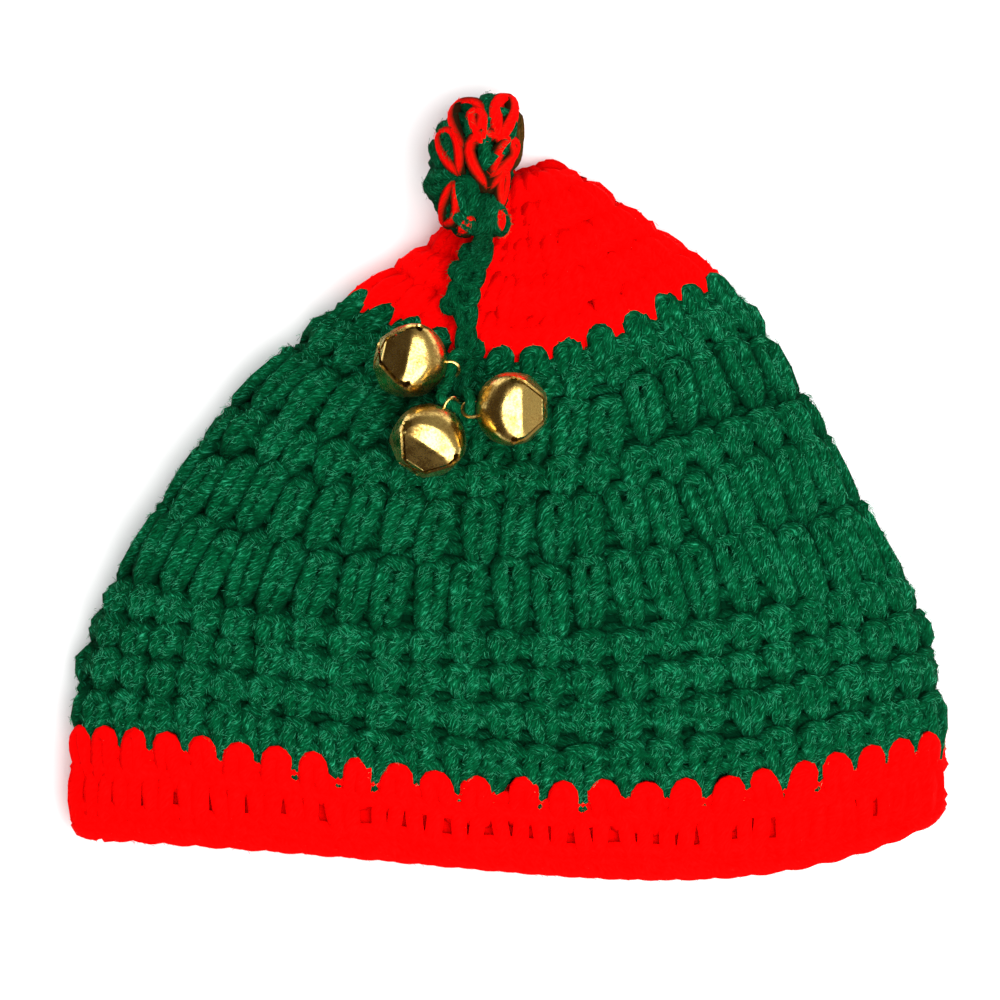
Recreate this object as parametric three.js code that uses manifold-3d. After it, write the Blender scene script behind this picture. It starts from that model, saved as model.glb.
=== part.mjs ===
// A crocheted christmas beanie for a baby, lying flat on its back with its mouth towards -Y and its tip towards
// +Y: a red band, a green body and a red crown, a two-colour topknot curled over the tip, and a green chain
// cord down the front that carries three jingle bells. Millimetres, +Z up, standing on z = 0.

import * as THREE from "three";
import { ParametricGeometry } from "three/addons/geometries/ParametricGeometry.js";
import { mergeVertices } from "three/addons/utils/BufferGeometryUtils.js";
import Module from "manifold-3d";

const wasm = await Module();
wasm.setup();
const { degToRad, lerp } = THREE.MathUtils;

// Driving dimensions
const GAP = 0.3; // clearance between neighbouring pieces
const EDGE_GAP = 0.6; // clearance along the scalloped edges, measured up the front
const WALL = 4.5; // crocheted wall above and below the hollow
const SIDE_WALL = 5.5; // crocheted wall at the two side folds
const GROOVE = 0.9; // depth of the groove between two crochet rows
const SCALLOP = 3.2; // height of the scalloped edges between two colours
const BAND_STITCHES = 48; // stitches round the band
const CROWN_STITCHES = 24; // stitches round the foot of the crown
const BAND_TOP = 16; // rise of the band's upper edge
const CROWN_BASE = 101.4; // rise of the crown's lower edge
const BELL_RADIUS = 7.4;
const BELL_SHEET = 0.6; // sheet metal of a bell
const BELL_SLIT = 1.2;
const LOOP_RADIUS = 1.8; // wire loop of a bell, to the middle of the wire
const LOOP_WIRE = 0.35; // radius of that wire
const LOOP_REACH = 8.2; // from the middle of a bell to the middle of its loop
const PELLET_RADIUS = 1.7;
const CORD_RADIUS = 2.3;
const TIE_RADIUS = 0.8;

// The flattened hat from the rim to the tip. rise is measured up the middle of the front. left and right are
// the fold points seen from above, and the drops say how far the row hangs below the line between them at a
// quarter, half and three quarters of the way across. height is the thickness of the hat in the middle, and
// fold the height of its side folds.
// rise, leftX, leftY, rightX, rightY, dropLeft, dropMiddle, dropRight, height, fold
const SECTIONS = [
  [0, -87.6, -71.0, 87.6, -66.7, 3.2, 7.4, 10.1, 22, 7],
  [16, -87.4, -49.5, 87.8, -49.9, 4.4, 9.8, 9.0, 25, 7],
  [37.1, -83.8, -27.5, 84.0, -26.9, 7.6, 11.2, 9.2, 28, 7],
  [58.4, -72.0, -5.5, 72.6, -3.9, 9.0, 12.4, 9.2, 29, 7],
  [79.9, -56.0, 16.7, 60.0, 18.9, 10.0, 13.4, 9.0, 27, 7],
  [91, -44.4, 28.2, 52.6, 30.8, 10.4, 14.0, 8.8, 24.8, 6.8],
  [101.4, -32.0, 38.7, 43.2, 41.9, 10.8, 14.4, 8.6, 22, 6.5],
  [117.6, -16.6, 49.1, 30.4, 51.9, 6.4, 8.4, 5.2, 17, 6],
  [132.1, -7.6, 58.1, 16.4, 61.5, 2.4, 3.2, 2.0, 12, 5],
  [139, -4.6, 62.4, 9.8, 64.2, 0.8, 1.0, 0.6, 9, 4],
];
const TIP = new THREE.Vector3(3.2, 65.4, 4.5);
const CROWDING = 0.25; // how far the points round a section crowd towards the folds
const FLATNESS = 2.5; // how soon the underside comes down flat from a fold

// Rises at which one crochet row ends and the next begins
const BAND_ROWS = [0, 4.4, 11.6, BAND_TOP];
const BODY_ROWS = [BAND_TOP, 25.2, 33, 39.8, 46.2, 60.2, 72.6, 80.2, 91.6, CROWN_BASE];
const CROWN_ROWS = [CROWN_BASE, 109.2, 117, 124.8, 132, 139];

// The topknot from its far end to the end that the cord comes out of
// y, x, halfWidth, z, halfHeight
const KNOT_SECTIONS = [
  [77.9, -3.2, 0, 9, 0],
  [76.6, -3.8, 5.0, 9, 5.5],
  [74.6, -4.6, 7.7, 9.4, 8.0],
  [71.8, -5.0, 9.2, 10.6, 10.0],
  [68.8, -6.0, 9.9, 11.8, 11.2],
  [65.8, -6.6, 10.3, 12.8, 11.9],
  [62.8, -7.3, 10.2, 13.8, 11.9],
  [59.8, -7.6, 9.6, 15.4, 10.8],
  [56.8, -7.6, 8.9, 17.2, 9.4],
  [53.8, -7.0, 8.0, 18.6, 7.8],
  [51.4, -6.2, 6.4, 19.6, 6.2],
  [49.8, -5.4, 4.2, 20.2, 4.2],
  [49.2, -5.0, 0, 20.4, 0],
];
const KNOT_COLUMNS = 6; // columns of chain loops round the topknot
const KNOT_PITCH = 5.4; // length of one chain loop
const KNOT_RELIEF = 0.07; // how far the loops stand out, as a share of the radius

// Where the cord lies on the crown, seen from above
const CORD_ROUTE = [
  [-4.5, 48.2],
  [-6.6, 44.0],
  [-8.8, 38.2],
  [-8.2, 32.4],
  [-6.9, 26.8],
  [-6.6, 21.4],
];

// x and y of a bell's middle, the direction from its loop to its mouth seen from above, how far the mouth is
// turned up, and how far the bell is rolled about that direction
// name, x, y, towardsX, towardsY, tilt, roll
const BELLS = [
  ["bell_1", -19.4, 24.5, -0.97, 0.25, 25, 14],
  ["bell_2", -15.6, 8.5, -0.53, -0.85, 20, -12],
  ["bell_3", 1.0, 14.9, 1, 0, 8, 4],
];

// A closed geometry with shared vertices merged, collapsed triangles removed and its faces pointing out
function closed(geometry) {
  geometry.deleteAttribute("normal");
  geometry.deleteAttribute("uv");
  const merged = mergeVertices(geometry, 1e-3);
  const index = merged.index.array;
  const kept = [];
  for (let i = 0; i < index.length; i += 3) {
    const [a, b, c] = index.slice(i, i + 3);
    if (a !== b && b !== c && c !== a) {
      kept.push(a, b, c);
    }
  }
  if (signedVolume(merged.attributes.position, kept) < 0) {
    kept.reverse();
  }
  merged.setIndex(kept);
  return merged;
}

function signedVolume(position, index) {
  const [a, b, c] = [new THREE.Vector3(), new THREE.Vector3(), new THREE.Vector3()];
  let volume = 0;
  for (let i = 0; i < index.length; i += 3) {
    a.fromBufferAttribute(position, index[i]);
    b.fromBufferAttribute(position, index[i + 1]);
    c.fromBufferAttribute(position, index[i + 2]);
    volume += a.dot(b.cross(c)) / 6;
  }
  return volume;
}

function solidOf(geometry) {
  const merged = closed(geometry);
  return new wasm.Manifold(new wasm.Mesh({
    numProp: 3,
    vertProperties: new Float32Array(merged.attributes.position.array),
    triVerts: new Uint32Array(merged.index.array),
  }));
}

function geometryOf(solid) {
  const { vertProperties, triVerts } = solid.getMesh();
  const geometry = new THREE.BufferGeometry();
  geometry.setAttribute("position", new THREE.BufferAttribute(vertProperties, 3));
  geometry.setIndex(new THREE.BufferAttribute(triVerts, 1));
  return geometry;
}

// A smooth curve through a table whose first column is the parameter
function curveThrough(table) {
  const rows = [...table].sort((a, b) => a[0] - b[0]);
  const values = rows.flatMap((row) => row.slice(1));
  return new THREE.CubicInterpolant(rows.map((row) => row[0]), values, table[0].length - 1);
}

// The wall of the hat
const sectionCurve = curveThrough(SECTIONS);

// A point of the wall. turn goes once round the section from the left fold across the front, and depth is 0 on
// the outside and 1 on the inside.
function wallPoint(rise, turn, depth) {
  const [leftX, leftY, rightX, rightY, dropLeft, dropMiddle, dropRight, height, fold] =
    sectionCurve.evaluate(rise);
  const round = turn - Math.floor(turn);
  const inFront = round < 0.5;
  const along = inFront ? 2 * round : 2 - 2 * round;
  const across = lerp(2 * along - 1, -Math.cos(Math.PI * along), CROWDING);
  const half = Math.hypot(rightX - leftX, rightY - leftY) / 2;
  const u = across * (1 - (depth * SIDE_WALL) / half);
  const skew = (dropRight - dropLeft) / 0.75;
  const spread = 2 * ((dropLeft + dropRight) / 0.75 - 2 * dropMiddle);
  const drop = (1 - across * across) * (dropMiddle + skew * across + spread * across * across);
  const arch = Math.sqrt(Math.max(0, 1 - across * across));
  const top = height - depth * WALL;
  const bottom = depth * WALL;
  const z = inFront ? lerp(fold, top, arch) : lerp(fold, bottom, Math.min(1, FLATNESS * arch));
  return new THREE.Vector3(lerp(leftX, rightX, (u + 1) / 2), lerp(leftY, rightY, (u + 1) / 2) - drop, z);
}

function wallNormal(rise, turn) {
  const up = wallPoint(rise + 0.5, turn, 0).sub(wallPoint(rise - 0.5, turn, 0));
  const across = wallPoint(rise, turn + 0.002, 0).sub(wallPoint(rise, turn - 0.002, 0));
  return across.cross(up).normalize();
}

// The outside sinks into a groove between two rows, except where the hat lies flat on its back
function outerPoint(rise, turn, groove) {
  const point = wallPoint(rise, turn, 0);
  const share = THREE.MathUtils.smoothstep(point.z, 0.2, 5);
  return point.addScaledVector(wallNormal(rise, turn), -GROOVE * groove * share);
}

// Zigzag from -1 in the valleys to 1 on the heads of the stitches
function zigzag(turn, stitches) {
  const phase = (turn * stitches) % 1;
  return 1 - 4 * Math.abs(phase - 0.5);
}

// One line of a wall's profile; stitches is 0 where the line is level
function line(rise, depth, groove = 0, stitches = 0) {
  return (turn) => {
    const level = stitches ? rise + (SCALLOP / 2) * zigzag(turn, stitches) : rise;
    return depth > 0 ? wallPoint(level, turn, depth) : outerPoint(level, turn, groove);
  };
}

function ridgesAndGrooves(rows) {
  const lines = [];
  for (let i = 1; i < rows.length; i += 1) {
    lines.push(line((rows[i - 1] + rows[i]) / 2, 0, 0));
    if (i < rows.length - 1) {
      lines.push(line(rows[i], 0, 1));
    }
  }
  return lines;
}

function wallGeometry(profile, slices) {
  const stacks = profile.length - 1;
  const surface = (u, v, target) => target.copy(profile[Math.round(v * stacks)](u % 1));
  return closed(new ParametricGeometry(surface, slices, stacks));
}

function bandGeometry() {
  const rim = line(-0.8, 0.5);
  const edge = BAND_TOP - EDGE_GAP;
  const profile = [
    rim,
    line(0.4, 0, 0.4),
    ...ridgesAndGrooves(BAND_ROWS),
    line(edge, 0, 0.4, BAND_STITCHES),
    line(edge, 1, 0, BAND_STITCHES),
    line(0.4, 1),
    rim,
  ];
  return wallGeometry(profile, 2 * BAND_STITCHES);
}

function bodyGeometry() {
  const profile = [
    line(BAND_TOP, 0, 0.4, BAND_STITCHES),
    line(BAND_TOP, 1, 0, BAND_STITCHES),
    line(44, 1),
    line(72, 1),
    line(CROWN_BASE, 1, 0, CROWN_STITCHES),
    line(CROWN_BASE, 0, 0.4, CROWN_STITCHES),
    ...ridgesAndGrooves(BODY_ROWS).reverse(),
    line(BAND_TOP, 0, 0.4, BAND_STITCHES),
  ];
  return wallGeometry(profile, 2 * BAND_STITCHES);
}

function crownGeometry() {
  const innerTip = wallPoint(129, 0, 1).lerp(wallPoint(129, 0.5, 1), 0.5).setZ(5.5);
  const foot = CROWN_BASE + EDGE_GAP;
  const profile = [
    () => innerTip,
    line(125, 1),
    line(113, 1),
    line(foot, 1, 0, CROWN_STITCHES),
    line(foot, 0, 0.4, CROWN_STITCHES),
    ...ridgesAndGrooves(CROWN_ROWS),
    line(CROWN_ROWS.at(-1), 0, 0.3),
    () => TIP,
  ];
  return wallGeometry(profile, 2 * CROWN_STITCHES);
}

// The space round the crown's outside, a little larger than the crown, which the topknot keeps out of
function crownRoom() {
  const room = (rise) => (turn) => {
    return wallPoint(rise, turn, 0).addScaledVector(wallNormal(rise, turn), GAP + 0.1);
  };
  const foot = new THREE.Vector3(6, 20, 5);
  const profile = [
    () => foot,
    room(CROWN_BASE),
    ...CROWN_ROWS.slice(1).map((rise) => room(rise - 4)),
    room(CROWN_ROWS.at(-1)),
    () => new THREE.Vector3(TIP.x, TIP.y + GAP + 0.1, TIP.z),
  ];
  return wallGeometry(profile, 2 * CROWN_STITCHES);
}

// The highest points of the hat's front, for laying the cord and the bells on it
function frontPoints() {
  const points = [];
  for (let rise = 60; rise <= 139; rise += 1.5) {
    for (let turn = 0; turn <= 0.5; turn += 1 / 160) {
      points.push(wallPoint(rise, turn, 0));
    }
  }
  return points;
}

const front = frontPoints();

// Height of the middle of a ball that rests on the front at x, y
function restHeight(x, y, radius) {
  let height = 0;
  for (const point of front) {
    const away = Math.hypot(point.x - x, point.y - y);
    if (away < radius) {
      height = Math.max(height, point.z + Math.sqrt(radius * radius - away * away));
    }
  }
  return height + GAP;
}

// The topknot: an egg of chain loops in columns, hollowed where it sits over the tip of the crown
function knotGeometry() {
  const knotCurve = curveThrough(KNOT_SECTIONS);
  const length = KNOT_SECTIONS[0][0] - KNOT_SECTIONS.at(-1)[0];
  const surface = (u, v, target) => {
    const y = KNOT_SECTIONS[0][0] - length * (0.5 - 0.5 * Math.cos(Math.PI * v));
    const [x, halfWidth, z, halfHeight] = knotCurve.evaluate(y);
    const angle = 2 * Math.PI * u;
    const column = KNOT_COLUMNS * u;
    const chevron = Math.abs((column % 1) - 0.5);
    const loop = Math.cos(2 * Math.PI * (y / KNOT_PITCH + chevron + (Math.floor(column) % 2) / 2));
    const reach = 1 + KNOT_RELIEF * (loop - 1) * Math.sin(Math.PI * v);
    const width = Math.max(0, halfWidth) * reach;
    const height = Math.max(0, halfHeight) * reach;
    target.set(x + width * Math.cos(angle), y, z + height * Math.sin(angle));
  };
  const egg = solidOf(new ParametricGeometry(surface, 24, 16));
  return geometryOf(egg.subtract(solidOf(crownRoom())));
}

// A cord or a strand of yarn along a curve
function strandGeometry(points, radius, sides, steps) {
  const section = new THREE.Shape().absarc(0, 0, radius, 0, 2 * Math.PI);
  const extrudePath = new THREE.CatmullRomCurve3(points, false, "centripetal");
  const options = { steps, curveSegments: sides / 2, bevelEnabled: false, extrudePath };
  return closed(new THREE.ExtrudeGeometry(section, options));
}

// A jingle bell with its mouth towards +Z: a round dome below, four petals that square it off above
function bellSkin(radius, slices, stacks) {
  const surface = (u, v, target) => {
    const angle = 2 * Math.PI * u;
    const polar = Math.PI * v;
    const petal = THREE.MathUtils.smoothstep(v, 0.5, 0.8);
    const power = 2 + 1.6 * petal;
    const [c, s] = [Math.abs(Math.cos(angle)), Math.abs(Math.sin(angle))];
    const squared = Math.pow(Math.pow(c, power) + Math.pow(s, power), -1 / power);
    const bulge = Math.pow(Math.sin(polar), 1 - 0.25 * petal);
    const reach = radius * bulge * squared * (1 - 0.06 * petal);
    target.set(reach * Math.cos(angle), reach * Math.sin(angle), -radius * Math.cos(polar));
  };
  return solidOf(new ParametricGeometry(surface, slices, stacks));
}

function bellGeometry() {
  const slit = new THREE.BoxGeometry(BELL_SLIT, 3 * BELL_RADIUS, 2 * BELL_RADIUS);
  slit.rotateZ(Math.PI / 4).translate(0, 0, 1.05 * BELL_RADIUS);
  const crossing = slit.clone().rotateZ(Math.PI / 2);
  const loop = new THREE.TorusGeometry(LOOP_RADIUS, LOOP_WIRE, 5, 12);
  loop.rotateX(Math.PI / 2).translate(0, 0, -LOOP_REACH);
  const shell = bellSkin(BELL_RADIUS, 16, 10)
    .subtract(bellSkin(BELL_RADIUS - BELL_SHEET, 10, 6))
    .subtract(solidOf(slit))
    .subtract(solidOf(crossing))
    .add(solidOf(loop));
  return geometryOf(shell);
}

// A bell's group lies on the front of the hat, and knows the middle of its loop and the way through it
function layBell([name, x, y, towardsX, towardsY, tilt, roll]) {
  const group = new THREE.Group();
  const level = Math.cos(degToRad(tilt));
  const axis = new THREE.Vector3(towardsX, towardsY, 0).normalize();
  axis.set(axis.x * level, axis.y * level, Math.sin(degToRad(tilt)));
  const side = new THREE.Vector3().crossVectors(axis, new THREE.Vector3(0, 0, 1)).normalize();
  const up = new THREE.Vector3().crossVectors(side, axis);
  const middle = new THREE.Vector3(x, y, restHeight(x, y, BELL_RADIUS));
  const turned = new THREE.Matrix4().makeBasis(up, side, axis);
  group.position.copy(middle);
  group.quaternion.setFromRotationMatrix(turned);
  group.rotateZ(degToRad(roll));
  const through = new THREE.Vector3(0, 1, 0).applyQuaternion(group.quaternion);
  const eye = middle.clone().addScaledVector(axis, -LOOP_REACH - 0.3);
  return { name, group, middle, eye, through };
}

function cordPoints() {
  const points = CORD_ROUTE.map(([x, y]) => new THREE.Vector3(x, y, restHeight(x, y, CORD_RADIUS)));
  return points;
}

// The yarn that ties the bells: through the three loops in turn and back up to the end of the cord
function tiePoints(bells, cordEnd) {
  const [first, second, third] = bells;
  const beside = (bell, distance) => bell.eye.clone().addScaledVector(bell.through, distance);
  return [
    beside(first, 3.2),
    first.eye,
    beside(first, -2.6),
    beside(second, 2.6),
    second.eye,
    second.eye.clone().add(new THREE.Vector3(1.8, -1.9, -1)),
    beside(third, 2.8),
    third.eye,
    beside(third, -2.4),
    new THREE.Vector3(cordEnd.x, cordEnd.y - 2, cordEnd.z),
    new THREE.Vector3(cordEnd.x, cordEnd.y - 2 * GAP, cordEnd.z),
  ];
}

// Materials
const yarn = (color) => new THREE.MeshStandardMaterial({ color, roughness: 0.95, metalness: 0 });
const gold = () => new THREE.MeshStandardMaterial({ color: 0xd9a520, roughness: 0.22, metalness: 1 });
const steel = () => new THREE.MeshStandardMaterial({ color: 0x8c8c8c, roughness: 0.4, metalness: 1 });
const RED = 0xd80808;
const GREEN = 0x0c5230;

function piece(name, geometry, material) {
  const mesh = new THREE.Mesh(geometry, material);
  mesh.name = name;
  return mesh;
}

const beanie = new THREE.Group();
beanie.add(piece("red_band", bandGeometry(), yarn(RED)));
beanie.add(piece("green_body", bodyGeometry(), yarn(GREEN)));
beanie.add(piece("red_crown", crownGeometry(), yarn(RED)));
beanie.add(piece("topknot", knotGeometry(), yarn(RED)));

const cordLine = cordPoints();
beanie.add(piece("cord", strandGeometry(cordLine, CORD_RADIUS, 8, 14), yarn(GREEN)));

const bells = BELLS.map(layBell);
for (const { name, group } of bells) {
  const pellet = piece(`${name}_pellet`, closed(new THREE.SphereGeometry(PELLET_RADIUS, 8, 6)), steel());
  const drop = BELL_RADIUS - BELL_SHEET - PELLET_RADIUS - 0.8;
  pellet.position.set(0, 0, -drop).applyQuaternion(group.quaternion.clone().invert());
  group.add(piece(name, bellGeometry(), gold()), pellet);
  beanie.add(group);
}
beanie.add(piece("bell_tie", strandGeometry(tiePoints(bells, cordLine.at(-1)), TIE_RADIUS, 8, 28), yarn(GREEN)));

export default beanie;
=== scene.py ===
"""A crocheted christmas beanie lying flat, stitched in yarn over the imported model, in metres in its frame."""

import math

import bmesh
import bpy
import numpy as np
from mathutils import Matrix, Vector


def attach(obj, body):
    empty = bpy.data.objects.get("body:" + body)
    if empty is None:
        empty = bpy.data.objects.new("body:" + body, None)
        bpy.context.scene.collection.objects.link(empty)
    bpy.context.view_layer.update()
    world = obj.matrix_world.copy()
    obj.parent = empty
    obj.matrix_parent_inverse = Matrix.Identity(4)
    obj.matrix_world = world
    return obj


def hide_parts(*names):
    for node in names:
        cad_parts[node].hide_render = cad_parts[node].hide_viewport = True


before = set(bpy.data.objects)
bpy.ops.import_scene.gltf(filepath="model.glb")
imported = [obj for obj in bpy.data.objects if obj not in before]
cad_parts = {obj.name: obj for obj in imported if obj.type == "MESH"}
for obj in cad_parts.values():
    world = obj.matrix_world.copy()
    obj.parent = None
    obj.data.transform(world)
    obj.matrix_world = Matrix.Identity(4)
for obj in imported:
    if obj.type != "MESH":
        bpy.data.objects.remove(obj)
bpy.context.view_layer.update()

MM = 0.001
TURN = 2 * math.pi
UP = np.array((0.0, 0.0, 1.0))

# The cloth's wall, in millimetres
WALL = 4.5  # crocheted wall above and below the hollow
SIDE_WALL = 5.5  # crocheted wall at the side folds
TIP_RISE = 139.0
CROWDING = 0.25  # how far the points round a section crowd towards the folds
FLATNESS = 2.5  # how soon the underside comes down flat from a fold
QUARTER_BOW = 0.75  # how far a plain bow hangs at its quarters, beside its middle
SLOPE_RISE, SLOPE_TURN = 0.6, 0.004  # half steps up and round for its slope
CORE = 2.3  # depth of the dense middle of the cloth below its outside
CORE_SLICES = 72

# The yarn, in millimetres
YARN = 1.9  # radius of the yarn
YARN_SIDES = 6
WIND = math.radians(48)  # how far the fibres wind round the yarn
PLY = 2.4  # width of a ply across the fibres
LUMPS = 0.09  # how unevenly a strand is spun, beside its radius
SPIN = 0.04  # how much the strands differ in thickness, beside their radius
STAND = 0.6  # how far the tops of the stitches stand out of the plain wall
LYING = 0.9  # least height of a stitch's strand, beside its radius
FLOOR_GAP = 0.02  # least height of any yarn
FIBRE_SHIFT = 500  # most that the fibres' pattern is moved along a strand

# Painted shade between the stitches, as depths below the outside in millimetres
SHADE_DEPTH_FROM, SHADE_DEPTH_TO = 0.5, 2.8  # depths between which the yarn is darkened as painted shade
GAP_DEPTH = 2.1  # painted shade at the gaps round a stitch
GAP_BESIDE, GAP_ABOVE = 0.3, 0.4  # where the gaps begin, from 0 in a stitch's middle to 1 at its edge
GAP_SIDES, GAP_ENDS, GAP_CORNERS = 0.2, 0.12, 1.1  # shade at its sides, ends and corners, in gap depths
GAP_SPREAD = (0.5, 1.15)  # how little and how much a stitch has of that shade
SHADED_KINDS = ("first", "low", "tall", "crown")  # the kinds of stitch with such gaps
HEAD_SHADE = 0.6  # painted shade: how much darker the heads of an edge row are at their sides

# The yarn's looks: fibres are measured in millimetres, other patterns are counted in a metre
FIBRE_LONG, FIBRE_FINE = 0.55, 3.0  # how fast the fibres change along them and across them
FIBRE_BENDS, FIBRE_BEND = 420.0, 1.6  # how often they bend aside, and how far
FIBRE_DARK, FIBRE_PALE = 0.36, 0.7  # values of their pattern at its darkest and its lightest
PATCHES = 230.0
FIBRE_TONE, PATCH_TONE, TONE_BASE = 0.95, 0.6, 0.35  # how much fibres and patches tell, and what is taken off
PLY_RELIEF = 0.25  # how high the plies stand beside the fibres
FIBRE_RELIEF = 0.0006  # depth of the relief in metres
YARN_ROUGHNESS, YARN_SHINE = 0.95, 0.02

# Loose fibres, in millimetres
FUZZ = 0.042  # half the thickness of a fibre
FUZZ_LENGTH = (0.4, 1.5)
FUZZ_TRIES = 8  # places tried for each fibre
FUZZ_ROUND = 0.95  # their spread round a strand, as an angle
FUZZ_FOOT = 0.97  # where their feet are, beside the strand's radius
FUZZ_SCATTER = 0.45  # scatter of their feet along a strand
FUZZ_OFF = 0.06  # how far they stand off a strand, beside their length
FUZZ_STRAY = (0.45, 0.45, 0.1)  # how far they stray along it, round it and off it
BACK_FUZZ = 0.35  # share of them that is kept on the underside
BACK_SLOPE = -0.2  # how far a strand looks down where the underside begins

# The flattened hat from the rim to the tip: the fold points seen from above, how far each row hangs below the
# line between them at a quarter, half and three quarters of the way, its thickness, and its folds' height
# rise, left x, left y, right x, right y, drop left, drop middle, drop right, height, fold
SECTIONS = np.array([
    (0, -87.6, -71.0, 87.6, -66.7, 3.2, 7.4, 10.1, 22, 7),
    (16, -87.4, -49.5, 87.8, -49.9, 4.4, 9.8, 9.0, 25, 7),
    (37.1, -83.8, -27.5, 84.0, -26.9, 7.6, 11.2, 9.2, 28, 7),
    (58.4, -72.0, -5.5, 72.6, -3.9, 9.0, 12.4, 9.2, 29, 7),
    (79.9, -56.0, 16.7, 60.0, 18.9, 10.0, 13.4, 9.0, 27, 7),
    (91, -44.4, 28.2, 52.6, 30.8, 10.4, 14.0, 8.8, 24.8, 6.8),
    (101.4, -32.0, 38.7, 43.2, 41.9, 10.8, 14.4, 8.6, 22, 6.5),
    (117.6, -16.6, 49.1, 30.4, 51.9, 6.4, 8.4, 5.2, 17, 6),
    (132.1, -7.6, 58.1, 16.4, 61.5, 2.4, 3.2, 2.0, 12, 5),
    (139, -4.6, 62.4, 9.8, 64.2, 0.8, 1.0, 0.6, 9, 4),
])

# Crochet rows: the rise where each begins, the rise where it ends, its stitches round, its kind of stitch,
# and how far round its first stitch stands, in stitches
BAND_ROWS = [(2.2, 10.6, 48, "post", 0.0), (10.2, 16.8, 48, "head", 0.3)]
BODY_ROWS = [
    (14.6, 25.2, 48, "first", 0.8),
    (25.2, 33.0, 48, "low", 0.86),
    (33.0, 39.8, 47, "low", 0.66),
    (39.8, 46.2, 46, "low", 0.46),
    (46.2, 60.2, 44, "tall", 0.0),
    (60.2, 72.6, 40, "tall", 0.06),
    (72.6, 80.2, 36, "low", 0.1),
    (80.2, 91.6, 31, "tall", 0.9),
    (91.6, 97.8, 26, "low", 0.7),
    (96.0, 102.4, 26, "head", 0.5),
]
CROWN_ROWS = [
    (100.6, 109.2, 26, "crown", 0.0),
    (109.2, 117.0, 21, "crown", 0.3),
    (117.0, 124.8, 16, "crown", 0.6),
    (124.8, 132.0, 11, "crown", 0.9),
    (132.0, 138.6, 7, "crown", 0.2),
]
# How far the stitches stray: across in widths, up in row heights, out in millimetres
STITCH_NUDGE = (0.045, 0.05, 0.25)
STITCH_STRETCH = 0.08  # how much they differ in width
STITCH_LEAN = 0.1  # how far they lean, in widths
MOST_OUT = 0.15  # the most that a stitch strays out, in millimetres

# Half of a stitch's loop from its foot to the middle of its top, which is mirrored for the other half
# across in stitch widths, up in row heights, lift in millimetres, which also sets the painted shade, radius
# beside the yarn's
LOW_TOP = [
    (0.27, 0.72, -0.3, 1.0),
    (0.22, 0.92, -1.7, 0.85),
    (0.0, 1.04, -2.6, 0.8),
]
FIRST_STITCH = [
    (0.02, -0.24, -0.3, 0.4),
    (0.06, -0.04, -0.2, 0.58),
    (0.15, 0.2, -0.5, 0.85),
    (0.235, 0.5, 0.1, 1.02),
    *LOW_TOP,
]
LOW_STITCH = [
    (0.07, -0.16, -1.7, 0.65),
    (0.12, 0.04, -0.7, 0.78),
    (0.18, 0.26, -0.1, 0.95),
    (0.235, 0.5, 0.2, 1.02),
    *LOW_TOP,
]
TALL_STITCH = [
    (0.08, -0.12, -1.7, 0.65),
    (0.14, 0.03, -0.7, 0.78),
    (0.21, 0.18, -0.2, 1.0),
    (0.235, 0.42, 0.0, 1.02),
    (0.235, 0.64, 0.1, 1.02),
    (0.285, 0.82, -0.1, 1.02),
    (0.24, 0.96, -1.5, 0.85),
    (0.0, 1.05, -2.5, 0.8),
]
POST_STITCH = [
    (0.2, -0.02, -1.6, 1.0),
    (0.25, 0.08, -0.5, 1.0),
    (0.25, 0.2, -0.1, 1.0),
    (0.185, 0.44, 0.0, 1.0),
    (0.2, 0.6, 0.0, 1.0),
    (0.26, 0.84, -0.1, 1.0),
    (0.22, 1.04, -1.0, 1.0),
    (0.0, 1.12, -1.8, 1.0),
]
HEAD_STITCH = [
    (0.16, -0.24, -1.8, 0.9),
    (0.2, 0.0, -0.7, 0.95),
    (0.18, 0.26, -0.1, 0.98),
    (0.17, 0.5, 0.2, 1.0),
    (0.175, 0.74, 0.3, 1.0),
    (0.15, 0.86, 0.3, 1.0),
    (0.09, 0.935, 0.3, 1.0),
    (0.0, 0.96, 0.3, 1.0),
]
CROWN_STITCH = [
    (0.06, -0.2, -2.2, 0.9),
    (0.15, 0.02, -1.1, 0.95),
    (0.22, 0.26, -0.2, 1.0),
    (0.255, 0.56, 0.1, 1.02),
    (0.275, 0.82, -0.2, 1.0),
    (0.2, 1.04, -1.4, 0.95),
    (0.0, 1.14, -2.2, 0.9),
]
# Half of the bar of yarn over the top of a low stitch and of a tall one
LOW_BAR = [
    (0.47, 0.77, -1.6, 0.66),
    (0.25, 0.86, -0.3, 0.8),
    (0.0, 0.89, 0.0, 0.84),
]
TALL_BAR = [
    (0.47, 0.86, -1.6, 0.66),
    (0.25, 0.92, -0.4, 0.8),
    (0.0, 0.94, -0.1, 0.84),
]
# The strands wrapped round the post of a tall stitch, from left to right
WRAP_LOW = [
    (-0.42, 0.14, -2.4, 0.7),
    (-0.24, 0.2, -0.2, 0.8),
    (0.0, 0.28, -0.5, 0.8),
    (0.22, 0.36, -0.2, 0.8),
    (0.38, 0.4, -2.4, 0.7),
]
WRAP_HIGH = [
    (-0.42, 0.42, -2.4, 0.7),
    (-0.24, 0.48, -0.3, 0.8),
    (0.0, 0.56, -0.3, 0.8),
    (0.22, 0.64, -0.3, 0.8),
    (0.38, 0.68, -2.4, 0.7),
]
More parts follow.
